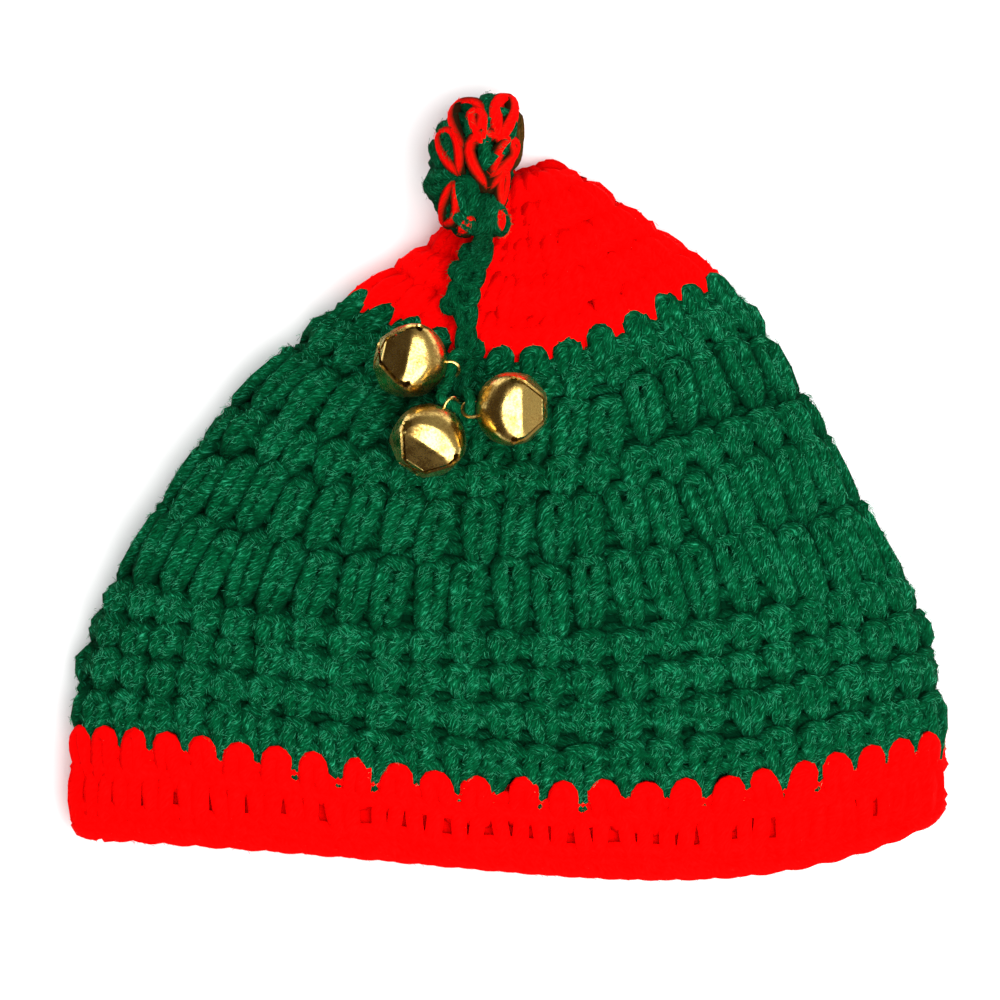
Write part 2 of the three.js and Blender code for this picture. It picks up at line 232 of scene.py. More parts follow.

# The yarn behind the stitches of each kind of row, which fills the gaps between them
# height in row heights, lift in millimetres, which also sets the painted shade, radius beside the yarn's
FILLS = {
    "first": [(0.4, -0.7, 0.95), (0.7, -0.8, 0.95), (1.02, -1.75, 0.8)],
    "low": [(0.46, -0.6, 0.95), (0.72, -0.9, 0.9), (1.02, -1.75, 0.8)],
    "tall": [(0.28, -1.2, 0.9), (0.5, -1.1, 0.9), (0.72, -1.2, 0.9), (1.02, -1.4, 0.8)],
    "post": [(0.08, -0.4, 0.95), (0.3, -0.4, 0.95), (1.0, -0.4, 0.95)],
    "head": [(0.5, -0.5, 0.8), (0.2, -0.5, 0.8)],
    "crown": [(0.28, -0.4, 0.95), (0.6, -0.4, 0.95)],
}
FILL_STEPS = 3  # points for each stitch
FILL_WAVE, FILL_WAVES = 0.04, 17  # how far the filling waves, in row heights, and how often round the hat

# The bars that show on the inside
INSIDE_HEIGHTS = (0.3, 0.8)  # in row heights
INSIDE_STEPS = 4  # points for each stitch
INSIDE_WAVE = 0.9  # how far they wave up and down
INSIDE_RIPPLE = 0.1  # how far they ripple out, beside the wall
INSIDE_YARN = 0.7  # radius beside the yarn's

# The edge of the rim
RIM_RISE = 2.0  # height of its strands
RIM_STRANDS = [(0.45, 0.0), (0.8, 0.5)]  # depth in the wall, and the share of a wave at which each begins
RIM_STEPS = 8  # points for each stitch
RIM_WAVE = 0.2
RIM_YARN = 1.25  # radius beside the yarn's

# The topknot from its foot to its top: place along Y, middle across, half width, middle height, half height
KNOT = np.array([
    (49.2, -5.0, 0.0, 20.4, 0.0),
    (49.8, -5.4, 4.2, 20.2, 4.2),
    (51.4, -6.2, 6.4, 19.6, 6.2),
    (53.8, -7.0, 8.0, 18.6, 7.8),
    (56.8, -7.6, 8.9, 17.2, 9.4),
    (59.8, -7.6, 9.6, 15.4, 10.8),
    (62.8, -7.3, 10.2, 13.8, 11.9),
    (65.8, -6.6, 10.3, 12.8, 11.9),
    (68.8, -6.0, 9.9, 11.8, 11.2),
    (71.8, -5.0, 9.2, 10.6, 10.0),
    (74.6, -4.6, 7.7, 9.4, 8.0),
    (76.6, -3.8, 5.0, 9.0, 5.5),
    (77.9, -3.2, 0.0, 9.0, 0.0),
])
KNOT_SIDE = 0.96  # how far round its sides the loops go, beside its half width
KNOT_LEAST = 0.5  # least half width that a loop is laid on
# Its loops: colour, where both ends meet, the middle of the head, width, radius of the strand, and lift
KNOT_LOOPS = [
    ("green", -3.8, 71.5, -3.8, 77.5, 1.6, 1.6, 0.0),
    ("green", -11.2, 67.9, -14.0, 71.1, 2.0, 1.3, 0.0),
    ("green", -14.0, 62.7, -15.8, 67.5, 1.2, 1.3, -0.2),
    ("green", -10.6, 60.5, -16.8, 59.1, 2.8, 1.7, 0.1),
    ("green", -11.6, 52.7, -14.8, 56.3, 1.6, 1.4, -0.4),
    ("green", -7.2, 52.7, -9.2, 59.5, 3.2, 1.8, 0.2),
    ("brown", 3.6, 64.1, 3.0, 73.5, 1.0, 1.3, -0.4),
    ("red", -8.4, 65.9, -8.4, 76.1, 6.4, 1.35, 0.4),
    ("red", -4.8, 67.1, -6.6, 73.9, 2.6, 1.25, 0.6),
    ("green", -7.4, 68.5, -7.6, 72.3, 0.8, 1.1, 0.3),
    ("red", -10.0, 61.3, -13.0, 69.9, 3.8, 1.2, 0.4),
    ("green", -11.6, 63.1, -12.8, 67.9, 1.0, 1.1, 0.1),
    ("red", -11.0, 59.7, -12.4, 51.9, 3.0, 1.35, 0.3),
    ("red", -3.6, 58.7, -3.0, 69.1, 9.2, 1.5, 0.4),
    ("red", -2.8, 61.1, 1.6, 67.9, 2.8, 1.5, 0.4),
    ("green", -4.0, 62.9, -0.4, 73.5, 5.4, 1.5, 0.4),
    ("red", -1.4, 68.5, -0.2, 76.7, 3.8, 1.65, 0.9),
    ("red", -1.0, 55.1, -0.4, 61.9, 1.2, 1.4, 0.4),
    ("red", -1.2, 50.5, -1.4, 53.7, 1.0, 1.1, 0.4),
    ("green", -2.0, 55.4, -1.0, 50.0, 2.8, 0.9, 0.5),
    ("green", -11.0, 53.4, -6.6, 50.6, 1.2, 1.0, 0.5),
    ("red", -9.6, 50.1, -7.6, 52.3, 1.0, 1.2, 0.4),
]
KNOT_SHADE = 1.15  # painted shade: how much darker its strands are at their sides, as a depth
# Half of a loose loop from its foot to the middle of its head: across in widths, up in lengths, lift
LOOSE_LOOP = [
    (0.05, -0.04, -1.0),
    (0.14, 0.1, -0.2),
    (0.36, 0.36, 0.0),
    (0.5, 0.68, 0.0),
    (0.36, 0.93, 0.0),
    (0.0, 1.0, 0.0),
]
# The rings of yarn in its middle, which lies in shade and is also painted dark as shade
HEART_RINGS, HEART_STEPS = 10, 24
HEART_ENDS = (1.6, 2.2)  # how far they stay from its foot and its top
HEART_SIZE = 0.86  # size of the middle beside the topknot
HEART_INSET = 1.9  # how far the strands lie inside that
HEART_LEAST = 0.3  # least reach of a ring
HEART_WAVE = 0.6
HEART_RADIUS = 2.0
# HEART_LIFT sets only the rings' painted shade, which darkens the middle
HEART_LIFT = -1.7

# The stem of strands that runs from the topknot into the cord: the first three places are on the topknot
STEM_ROUTE = np.array([(-4.2, 56.6), (-4.4, 54.0), (-4.6, 51.0), (-5.8, 45.4), (-7.0, 42.2)])
STEM_LIFT = (-2.6, -0.6, 0.2)  # how far it stands out of the topknot there
STEM_OVER = 0.8  # how far it runs above the cord further down
STEM_RADIUS = 1.0
STEM_POINTS = 24
STEM_OFFSETS = (-1.0, 0.0, 1.0)
STEM_SWAY = 0.25
STEM_SWAYS = 9  # how far the sway goes on along a strand, as an angle
STEM_DROP = 0.25  # how much lower the outer strands lie

# The cord's way over the front, its loops, and its real size in metres
CORD_ROUTE = np.array([
    (-4.5, 48.2),
    (-6.6, 44.0),
    (-8.8, 38.2),
    (-8.2, 32.4),
    (-8.4, 27.2),
    (-9.0, 22.6),
    (-9.4, 18.2),
])
CORD_POINTS = 60
CORD_EXIT_HEIGHT = 17.0
CORD_LIFT = 2.2
CORD_SHADE = 1.1  # painted shade: how much darker its strands are at their sides, as a depth
CORD_PITCH = 4.4  # length of a loop
LAST_LINK = 1.1  # length of the last loop, in pitches
LINK_STEP = 0.4  # half the step over which the cord's direction is taken
# Half of a loop of the chain: across in widths, up in pitches, lift
LINK = [
    (0.1, -0.3, -1.0),
    (0.3, 0.05, -0.2),
    (0.5, 0.45, 0.3),
    (0.48, 0.85, 0.3),
    (0.3, 1.15, 0.3),
    (0.0, 1.28, 0.3),
]
# place along the cord, width between its strands, radius of its strands
CORD_WIDTHS = np.array([
    (0.0, 2.6, 1.3),
    (0.2, 4.0, 1.4),
    (0.38, 4.4, 1.4),
    (0.54, 2.4, 1.2),
    (0.75, 2.6, 1.2),
    (1.0, 2.0, 1.1),
])
CORD_HEART, CORD_HEART_DROP = 1.3, 0.6  # radius of the strand inside the chain, and how far below it lies
# The loose puffs at the cord's left: place along it, reach from its middle
CORD_PUFFS = [(0.12, 3.0), (0.24, 3.4), (0.4, 3.9)]
PUFF_WIDTH, PUFF_RADIUS = 2.6, 1.15
# The hat's front as points from which the cord's height is read
FRONT_LINES, FRONT_STEPS = 280, 300
FRONT_TURNS = (0.02, 0.48)

# The bells
BELL_RADIUS = 7.4
BELL_SHEET = 0.5
BELL_SLIT = 1.1
BELL_NOTCH = 2.0
# The flats that its petals are pressed to: lean from the mouth's axis, distance beside the radius
BELL_FLATS = [(math.radians(82), 0.925), (math.radians(46), 0.87), (0.0, 0.85)]
BELL_SQUARE = 4  # how square its petals stand round the mouth, as the power of a rounded square
BELL_WIDTH = 0.97  # half the width between opposite petals beside the radius
# Shares of the way from the loop to the mouth
PETAL_FROM, PETAL_OVER = 0.25, 0.3  # where the sheet begins to turn square, and over how much
SLIT_FROM, NOTCH_TO = 0.52, 0.57  # where the slits begin, and where their wider ends stop
PETAL_END = 0.975
PETAL_COLUMNS, PETAL_LINES = 14, 44
WIDEST_SLIT = 0.707  # sine of half the angle of a petal
LEAST_FACING = 0.01
SHARP_FOLD = math.radians(40)
LOOP_RADIUS = 1.8
LOOP_WIRE = 0.35
LOOP_SIDES, LOOP_STEPS = 8, 20
LOOP_REACH = 8.2
LOOP_TURN = math.radians(52)  # how far the loops are turned from the petals
LOOP_LEAN = math.radians(12)  # how far the loops are bent up
# name, middle x, y and z, which way the mouth looks, its tilt up, its roll
BELLS = [
    ("bell_1", -19.4, 24.5, 28.72, -0.97, 0.25, 17, 8),
    ("bell_2", -15.6, 8.5, 33.25, -0.53, -0.85, 15, -6),
    ("bell_3", 1.0, 14.9, 32.75, 1.0, 0.0, 9, 4),
]
# Their gold: patterns counted in a metre, and depth in metres
SMEARS, GRAINS = 260.0, 2400.0
WORN_FROM, WORN_TO = 0.52, 0.76  # values of smears and grains between which the plating is worn
GOLD_RELIEF = 0.0003
# The yarn through their loops
TIE_RADIUS = 1.15
TIE_POINTS = 56
TIE_FROM = -16  # the point of the cord at which it begins
TIE_EYE = 0.3  # how far beyond the middle of a loop it passes
TIE_IN, TIE_OUT = 3.0, 2.6  # how far before and behind a loop it bends
TIE_START, TIE_BEND, TIE_END = (0.4, 0, 0.6), (1.9, -1.3, -0.6), (0.6, 0, 0.6)  # steps aside on its way

# Camera, floor and lamps, in metres
CAMERA_PLACE = (-0.0016, -0.0029, 1.118)
CAMERA_LENS = 200
FLOOR_SIZE = 6
# name, place, size, watts
LIGHTS = [
    ("key", (0.28, -0.2, 0.8), 0.85, 11.7),
    ("fill", (-0.1, 0.75, 0.45), 0.4, 2.5),
]
SKY = (0.55, 0.55, 0.55, 1)
# The room that the bells mirror
ROOM_DARK, ROOM_LIGHT = (0.05, 0.032, 0.018, 1), (0.36, 0.34, 0.3, 1)
ROOM_BLOTCHES, ROOM_BLOTCH = 1.7, 0.9  # how fine its blotches are, and how strong
ROOM_FROM, ROOM_TO = 0.2, 1.2  # where it is darkest and lightest, from left to right

rng = np.random.default_rng(7)


# Smooth curves through tables
def through(table, at):
    """Values of a smooth curve through a table whose first column is the parameter."""
    x, y = table[:, 0], table[:, 1:]
    slope = np.zeros_like(y)
    slope[1:-1] = (y[2:] - y[:-2]) / (x[2:] - x[:-2])[:, None]
    slope[0] = 1.5 * (y[1] - y[0]) / (x[1] - x[0]) - 0.5 * slope[1]
    slope[-1] = 1.5 * (y[-1] - y[-2]) / (x[-1] - x[-2]) - 0.5 * slope[-2]
    at = np.clip(at, x[0], x[-1])
    i = np.clip(np.searchsorted(x, at, side="right") - 1, 0, len(x) - 2)
    step = (x[i + 1] - x[i])[..., None]
    t = (at - x[i])[..., None] / step
    a, b = y[i], y[i + 1]
    c, d = slope[i] * step, slope[i + 1] * step
    start = (2 * t**3 - 3 * t**2 + 1) * a + (t**3 - 2 * t**2 + t) * c
    return start + (3 * t**2 - 2 * t**3) * b + (t**3 - t**2) * d


def steps_along(points, power=1.0):
    """How far along a line of points each of them is, by its steps or by a power of them."""
    return np.concatenate([[0], np.cumsum(np.linalg.norm(np.diff(points, axis=0), axis=1) ** power)])


def smooth_line(points, steps):
    """A smooth line through a few points, with that many points in all."""
    points = np.asarray(points, float)
    knots = steps_along(points, 0.5)
    return through(np.column_stack([knots, points]), np.linspace(0, knots[-1], steps))


def once_round(steps):
    """Shares of a turn from 0 to 1, in that many steps."""
    return np.arange(steps + 1) / steps


def lift_to(height, points):
    """Lifts the points that lie lower up to a height."""
    points[..., 2] = np.maximum(points[..., 2], height)
    return points


def unit(vectors):
    """The same directions, with a length of 1."""
    return vectors / np.maximum(np.linalg.norm(vectors, axis=-1, keepdims=True), 1e-12)


# The hat's outside
def wall(rise, turn, depth=0.0):
    """Points of the wall: turn goes round from the left fold over the front, depth is 1 on the inside."""
    columns = np.moveaxis(through(SECTIONS, rise), -1, 0)
    left_x, left_y, right_x, right_y, drop_left, drop_middle, drop_right, height, fold = columns
    turn = turn - np.floor(turn)
    in_front = turn < 0.5
    along = np.where(in_front, 2 * turn, 2 - 2 * turn)
    across = (1 - CROWDING) * (2 * along - 1) - CROWDING * np.cos(np.pi * along)
    half = np.hypot(right_x - left_x, right_y - left_y) / 2
    u = (across * (1 - depth * SIDE_WALL / half) + 1) / 2
    skew = (drop_right - drop_left) / QUARTER_BOW
    spread = 2 * ((drop_left + drop_right) / QUARTER_BOW - 2 * drop_middle)
    drop = (1 - across**2) * (drop_middle + skew * across + spread * across**2)
    arch = np.sqrt(np.maximum(0, 1 - across**2))
    top = fold + (height - depth * WALL - fold) * arch
    bottom = fold + (depth * WALL - fold) * np.minimum(1, FLATNESS * arch)
    x = left_x + (right_x - left_x) * u
    y = left_y + (right_y - left_y) * u - drop
    return np.stack([x, y, np.where(in_front, top, bottom)], axis=-1)


def wall_normal(rise, turn):
    """Which way the wall looks."""
    low = np.clip(rise - SLOPE_RISE, 0, TIP_RISE - 2 * SLOPE_RISE)
    up = wall(low + 2 * SLOPE_RISE, turn) - wall(low, turn)
    across = wall(rise, turn + SLOPE_TURN) - wall(rise, turn - SLOPE_TURN)
    return unit(np.cross(across, up))


def on_wall(rise, turn, lift):
    """Points that stand out of the wall by lift, and which way the wall looks there."""
    normal = wall_normal(rise, turn)
    return lift_to(YARN * LYING, wall(rise, turn) + normal * lift[..., None]), normal


# Strands of yarn
def ring_faces(strands, rings):
    """Quads round a number of equal tubes, and a face over each of their ends."""
    ring = np.arange(YARN_SIDES)
    after = (ring + 1) % YARN_SIDES
    start = (np.arange(strands) * rings * YARN_SIDES)[:, None, None]
    low = start + (np.arange(rings - 1) * YARN_SIDES)[None, :, None]
    high = low + YARN_SIDES
    quads = np.stack([low + ring, low + after, high + after, high + ring], -1)
    first = start[:, 0] + ring[::-1]
    last = start[:, 0] + (rings - 1) * YARN_SIDES + ring
    return quads.reshape(-1, 4), np.concatenate([first, last])


def ring_uvs(along):
    """UVs for those faces: the way along the strand in millimetres, and the share of the way round it."""
    strands, rings = along.shape
    shape = (strands, rings - 1, YARN_SIDES)
    ring = np.arange(YARN_SIDES) / YARN_SIDES
    near = np.broadcast_to(ring, shape)
    far = near + 1 / YARN_SIDES
    low = np.broadcast_to(along[:, :-1, None], shape)
    high = np.broadcast_to(along[:, 1:, None], shape)
    quads = np.stack([low, near, low, far, high, far, high, near], axis=-1).reshape(-1, 2)
    ends = np.repeat(np.concatenate([along[:, 0], along[:, -1]]), YARN_SIDES)
    return np.concatenate([quads, np.column_stack([ends, np.tile(ring, 2 * strands)])])


def gap_shade(u, v):
    """The depth added towards the gaps round a stitch as painted shade, over which u and v go from -1 to 1."""
    beside = np.clip((np.abs(u) - GAP_BESIDE) / (1 - GAP_BESIDE), 0, 1)
    above = np.clip((np.abs(v) - GAP_ABOVE) / (1 - GAP_ABOVE), 0, 1)
    return GAP_DEPTH * (GAP_SIDES * beside**2 + GAP_ENDS * above**2 + GAP_CORNERS * beside * above)


def sunk_share(towards, angle, radius, lift, cell):
    """The painted shade of places on strands, from 0 to 1, by how far they are sunk below the tops of the
    stitches and by the gaps round them.
    towards leads to them from the middle of the strand, at that angle from its outer side."""
    u = cell[..., :1] + radius * (towards * cell[..., None, 2:5]).sum(axis=-1)
    v = cell[..., 1:2] + radius * (towards * cell[..., None, 5:]).sum(axis=-1)
    depth = radius * (1 - np.cos(angle)) - lift + gap_shade(u, v)
    return np.clip((depth - SHADE_DEPTH_FROM) / (SHADE_DEPTH_TO - SHADE_DEPTH_FROM), 0, 1)


def new_piece(name, vertices, faces, material):
    """A smooth piece from points in millimetres."""
    mesh = bpy.data.meshes.new(name)
    mesh.from_pydata(vertices * MM, [], faces)
    mesh.shade_smooth()
    mesh.materials.append(material)
    piece = bpy.data.objects.new(name, mesh)
    bpy.context.collection.objects.link(piece)
    return piece


class Yarn:
    """Strands of one piece, gathered as arrays and made into one mesh."""

    def __init__(self):
        self.vertices, self.faces, self.uvs, self.sunk, self.skin = [], [], [], [], []
        self.count = 0

    def add(self, lines, normals, radius, lift=0.0, fuzzy=True, cell=None):
        """lines and normals are arrays of strands by points by 3; lift is how far the strands stand out, which
        sets their painted shade.
        cell has each point's u and v in its stitch, and the two vectors along which they grow, for the painted
        shade at the gaps."""
        strands, points = lines.shape[:2]
        cell = np.zeros((strands, points, 8)) if cell is None else cell
        ahead = unit(np.gradient(lines, axis=1))
        side = unit(np.cross(ahead, normals))
        out = np.cross(side, ahead)
        radius = np.broadcast_to(np.asarray(radius, float), (strands, points))[:, :, None]
        lift = np.broadcast_to(np.asarray(lift, float), (strands, points))[:, :, None]
        angle = np.arange(YARN_SIDES) / YARN_SIDES * TURN + math.pi
        circle = np.cos(angle)[:, None] * out[:, :, None] + np.sin(angle)[:, None] * side[:, :, None]
        rings = lift_to(FLOOR_GAP, lines[:, :, None] + radius[..., None] * circle)
        quads, ends = ring_faces(strands, points)
        length = np.linalg.norm(np.diff(lines, axis=1), axis=2).cumsum(axis=1)
        along = np.concatenate([np.zeros((strands, 1)), length], axis=1)
        along = along + rng.uniform(0, FIBRE_SHIFT, (strands, 1))
        self.vertices.append(rings.reshape(-1, 3))
        self.faces.extend((quads + self.count).tolist())
        self.faces.extend((ends + self.count).tolist())
        self.uvs.append(ring_uvs(along))
        self.sunk.append(sunk_share(circle, angle, radius, lift, cell).ravel())
        self.count += strands * points * YARN_SIDES
        if fuzzy:
            parts = (lines, ahead, side, out, radius, lift, cell)
            inner = [part[:, 1:-1].reshape(-1, part.shape[2]) for part in parts]
            self.skin.append(np.concatenate(inner, axis=1))

    def add_one(self, line, normals, radius, lift=0.0, fuzzy=True):
        """A single strand along a line of points."""
        self.add(line[None], np.broadcast_to(normals, line.shape)[None], radius, lift, fuzzy)

    def add_core(self, rings):
        """The dense middle, a wall of quads that closes on itself both ways."""
        rows, columns = rings.shape[:2]
        row, column = np.indices((rows, columns))
        after, beside = (row + 1) % rows, (column + 1) % columns
        corners = [(row, column), (row, beside), (after, beside), (after, column)]
        quads = np.stack([down * columns + across for down, across in corners], -1).reshape(-1, 4)
        self.vertices.append(rings.reshape(-1, 3))
        self.faces.extend((quads + self.count).tolist())
        self.uvs.append(np.zeros((quads.size, 2)))
        # The dense middle is painted in the full shade colour, as painted shade in the holes between the
        # stitches
        self.sunk.append(np.ones(rows * columns))
        self.count += rows * columns

    def piece(self, name, material):
        """The strands as one piece, with their UV map and the painted shade of each point."""
        piece = new_piece(name, np.concatenate(self.vertices), self.faces, material)
        layer = piece.data.uv_layers.new(name="strand")
        layer.data.foreach_set("uv", np.concatenate(self.uvs).astype(np.float32).ravel())
        sunk = piece.data.attributes.new("sunk", "FLOAT", "POINT")
        sunk.data.foreach_set("value", np.concatenate(self.sunk).astype(np.float32))
        return piece

    def fuzz(self, name, count, material, least=0.0, most=1.0):
        """Loose fibres off the strands, as thin slivers, where the yarn's painted shade is between those two
        shares.
        """
        tries = FUZZ_TRIES * count
        pick = rng.choice(np.concatenate(self.skin), tries)
        angle = rng.normal(0, FUZZ_ROUND, (tries, 1))
        point, ahead, side, out, radius, lift, cell = np.split(pick, (3, 6, 9, 12, 13, 14), axis=1)
        away = np.cos(angle) * out + np.sin(angle) * side
        around = np.cos(angle) * side - np.sin(angle) * out
        sunk = sunk_share(away[:, None], angle, radius, lift, cell)[:, 0]
        shown = (out[:, 2] > BACK_SLOPE) | (rng.random(tries) < BACK_FUZZ)
        wanted = np.flatnonzero(shown & (sunk >= least) & (sunk <= most))[:count]
        count = len(wanted)
        point, ahead, away, around, radius = (part[wanted] for part in (point, ahead, away, around, radius))
        lie = rng.normal(0, 1, (count, 3)) * FUZZ_STRAY + (math.cos(WIND), math.sin(WIND), FUZZ_OFF)
        lean = unit(lie[:, :1] * ahead + lie[:, 1:2] * around + lie[:, 2:] * away)
        length = rng.uniform(*FUZZ_LENGTH, (count, 1))
        foot = point + away * radius * FUZZ_FOOT + rng.normal(0, FUZZ_SCATTER, (count, 1)) * ahead
        tip = foot + lean * length
        beside = unit(np.cross(lean, away)) * FUZZ
        over = np.cross(beside, lean)
        corners = np.stack([foot + beside, foot - beside, tip + over, tip - over], axis=1)
        vertices = lift_to(FLOOR_GAP, corners).reshape(-1, 3)
        sliver = np.array([(0, 2, 1), (0, 1, 3), (0, 3, 2), (1, 2, 3)])
        faces = (sliver + 4 * np.arange(count)[:, None, None]).reshape(-1, 3)
        return new_piece(name, vertices, faces.tolist(), material)


# Stitches
def whole_loop(half, steps):
    """Both halves of a loop as one line."""
    half = np.array(half)
    mirrored = half * ([-1] + [1] * (half.shape[1] - 1))
    return smooth_line(np.concatenate([mirrored, half[-2::-1]]), steps)


# The strands of each kind of stitch, with the number of points along each
STITCHES = {
    "first": [whole_loop(FIRST_STITCH, 13), whole_loop(LOW_BAR, 6)],
    "low": [whole_loop(LOW_STITCH, 13), whole_loop(LOW_BAR, 6)],
    "tall": [
        whole_loop(TALL_STITCH, 15),
        whole_loop(TALL_BAR, 6),
        smooth_line(WRAP_LOW, 7),
        smooth_line(WRAP_HIGH, 7),
    ],
    "post": [whole_loop(POST_STITCH, 15)],
    "head": [whole_loop(HEAD_STITCH, 23)],
    "crown": [whole_loop(CROWN_STITCH, 15)],
}
CHAIN_LOOP = whole_loop(LINK, 15)
PUFF_LOOP = whole_loop(LOOSE_LOOP, 15)
KNOT_LOOP = whole_loop(LOOSE_LOOP, 27)


def stitch_growth(start, end, count, middle):
    """The two vectors along which u and v grow over each stitch of a row."""
    edges = middle + np.array((-0.5, 0.5)) / count
    half_across = np.diff(wall(np.full(2, (start + end) / 2), edges), axis=1) / 2
    half_up = np.diff(wall(np.array((start, end)), middle + np.zeros(2)), axis=1) / 2
    halves = (half_across, half_up)
    return np.concatenate([half / (half**2).sum(axis=-1, keepdims=True) for half in halves], -1)


def stitch_row(yarn, row):
    """The stitches of one row, each a little different."""
    start, end, count, kind, first = row
    middle = ((np.arange(count) + first) / count)[:, None]
    nudge = rng.normal(0, 1, (count, 3)) * STITCH_NUDGE
    stretch = rng.normal(1, STITCH_STRETCH, (count, 1))
    lean = rng.normal(0, STITCH_LEAN, (count, 1))
    growth = stitch_growth(start, end, count, middle)
    head_shade = HEAD_SHADE if kind == "head" else 0.0
    for line in STITCHES[kind]:
        place = line[:, 0] * stretch + lean * (line[:, 1] - 0.5)
        up = line[:, 1] + nudge[:, 1:2]
        lift = line[:, 2] + STAND - YARN + np.minimum(nudge[:, 2:], MOST_OUT)
        turn = middle + (place + nudge[:, :1]) / count
        points, normals = on_wall(start + up * (end - start), turn, lift)
        swell = rng.normal(1, LUMPS, (count, len(line) + 2))
        swell = (swell[:, :-2] + 2 * swell[:, 1:-1] + swell[:, 2:]) / 4
        swell = rng.normal(1, SPIN, (count, 1)) * swell
        cell = None
        if kind in SHADED_KINDS:
            spot = np.stack([2 * place, 2 * np.broadcast_to(line[:, 1], place.shape) - 1], axis=-1)
            cell = np.concatenate([spot, np.broadcast_to(growth, place.shape + (6,))], axis=-1)
            cell = cell * rng.uniform(*GAP_SPREAD, (count, 1, 1))
        # The yarn's painted shade is read from this lift, less the heads' sink, and from the gaps in cell
        yarn.add(points, normals, YARN * line[:, 3] * swell, line[:, 2] - head_shade, kind != "head", cell)


def rim_edge(yarn, count):
    """The edge of the band: two wavy strands round the rim, side by side through the wall."""
    turn = once_round(count * RIM_STEPS)
    for depth, phase in RIM_STRANDS:
        wave = np.cos((turn * count + phase) * TURN)
        points = lift_to(YARN, wall(RIM_RISE + RIM_WAVE * wave, turn, depth))
        yarn.add_one(points, wall_normal(RIM_RISE + 0 * turn, turn), YARN * RIM_YARN)


def filling(yarn, rows):
    """The yarn behind the stitches of each row, as rings that close the gaps between them."""
    for start, end, count, kind, _ in rows:
        turn = once_round(count * FILL_STEPS)
        wave = FILL_WAVE * np.sin(turn * FILL_WAVES * TURN)
        for share, lift, radius in FILLS[kind]:
            rise = start + (share + wave) * (end - start)
            points, normals = on_wall(rise, turn, STAND - YARN + lift + 0 * turn)
            yarn.add_one(points, normals, YARN * radius, lift)


def inside_rows(yarn, rows):
    """The bars of yarn that each row shows on the inside, as wavy rings."""
    for start, end, count, _, _ in rows:
        turn = once_round(count * INSIDE_STEPS)
        wave = INSIDE_WAVE * np.sin(turn * count * TURN)
        depth = 1.0 - INSIDE_RIPPLE * np.cos(turn * count * TURN)
        for share in INSIDE_HEIGHTS:
            rise = start + share * (end - start) + wave
            yarn.add_one(wall(rise, turn, depth), -wall_normal(rise, turn), YARN * INSIDE_YARN, fuzzy=False)


def core(yarn, low, high, lines):
    """The dense middle of the cloth, which keeps light from coming through between the stitches and is painted
    in the shade colour as shade.
    """
    turn = np.arange(CORE_SLICES) / CORE_SLICES
    rise, turn = np.meshgrid(np.linspace(low, high, lines), turn, indexing="ij")
    outer = wall(rise, turn) - CORE * wall_normal(rise, turn)
    yarn.add_core(np.concatenate([outer, wall(rise[::-1], turn, 1.0)]))


def cloth(rows, low, high, lines):
    """The yarn of the band, the body or the crown."""
    yarn = Yarn()
    core(yarn, low, high, lines)
    inside_rows(yarn, rows)
    filling(yarn, rows)
    if rows is BAND_ROWS:
        rim_edge(yarn, rows[0][2])
    for row in rows:
        stitch_row(yarn, row)
    return yarn


# Shading
class Socket:
    """A shader socket that does arithmetic, each step a node of its material."""

    def __init__(self, tree, socket=None):
        self.tree, self.socket = tree, socket

    def add(self, kind, inputs, output=0, **settings):
        """A new node of a kind, from its settings and the values or links of its inputs."""
        node = self.tree.nodes.new(kind)
        for name, value in settings.items():
            setattr(node, name, value)
        for name, value in inputs.items():
            if isinstance(value, Socket):
                self.tree.links.new(value.socket, node.inputs[name])
            else:
                node.inputs[name].default_value = value
        return Socket(self.tree, node.outputs[output])

    def math(self, operation, *values):
        return self.add("ShaderNodeMath", dict(enumerate(values)), operation=operation)

    def __add__(self, other):
        return self.math("ADD", self, other)

    def __sub__(self, other):
        return self.math("SUBTRACT", self, other)

    def __rsub__(self, other):
        return self.math("SUBTRACT", other, self)

    def __mul__(self, other):
        return self.math("MULTIPLY", self, other)

    __radd__, __rmul__ = __add__, __mul__

    def mix(self, dark, light):
        """A colour between two colours or sockets, by this value."""
        return self.add("ShaderNodeMix", {0: self, 6: dark, 7: light}, output=2, data_type="RGBA")

    def share(self, low, high):
        """How far this value is on the way from low to high, from 0 to 1."""
        return self.add("ShaderNodeMapRange", {0: self, 1: low, 2: high, 3: 0.0, 4: 1.0})

    def part(self, axis):
        """One number of this vector."""
        return self.add("ShaderNodeSeparateXYZ", {0: self}, output=axis)

    def noise(self, scale, detail, roughness=0.5):
        """Soft noise at this place."""
        values = {"Vector": self, "Scale": scale, "Detail": detail, "Roughness": roughness}
        return self.add("ShaderNodeTexNoise", values)

    def bump(self, strength, distance):
        """A normal from this height."""
        return self.add("ShaderNodeBump", {"Strength": strength, "Distance": distance, "Height": self})

    def link(self, surface, name):
        """Feeds this socket into an input of the surface."""
        self.tree.links.new(self.socket, surface.inputs[name])


def set_inputs(surface, values):
    """Sets inputs that are the same all over the surface."""
    for name, value in values.items():
        surface.inputs[name].default_value = value


def material_of(name):
    """A new material, its place on the piece as a socket, and its surface shader."""
    material = bpy.data.materials.new(name)
    material.use_nodes = True
    tree = material.node_tree
    place = Socket(tree).add("ShaderNodeTexCoord", {}, output="Object")
    return material, place, tree.nodes["Principled BSDF"]


